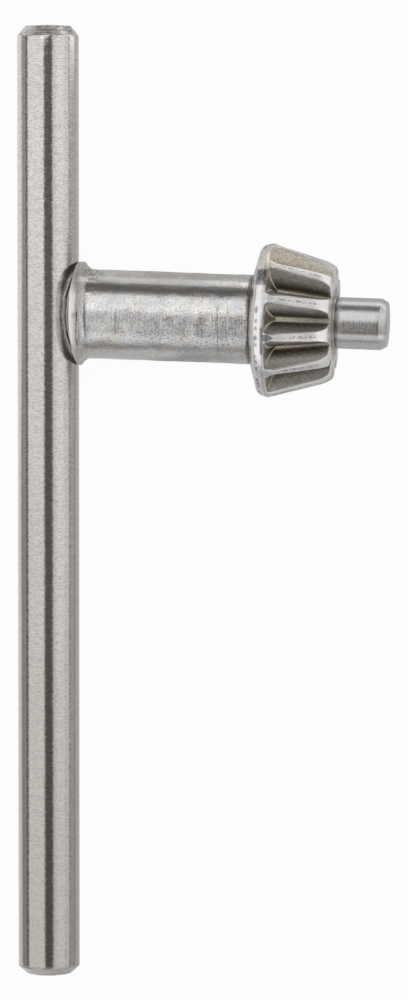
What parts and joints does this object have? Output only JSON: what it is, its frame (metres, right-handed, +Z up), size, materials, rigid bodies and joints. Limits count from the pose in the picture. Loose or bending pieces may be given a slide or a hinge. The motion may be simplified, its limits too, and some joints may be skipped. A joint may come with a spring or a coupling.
{
  "type": "drill chuck key",
  "caption": "T-handle chuck key: a round cross bar welded to a shank that carries a small bevel pinion and a pilot pin.",
  "frame": {"origin": "on the surface that the key lies on, under the middle of its footprint", "axes": "+Y along the handle bar, towards its short end; +X from the bar towards the pinion; +Z up"},
  "size_m": [0.0429, 0.11, 0.0176],
  "materials": {
    "bar_steel": "satin ground",
    "key_steel": "forged and turned, lightly worn"
  },
  "bodies": {
    "root": {"handle_bar": "bar_steel", "key_body": "key_steel"}
  },
  "joints": []
}
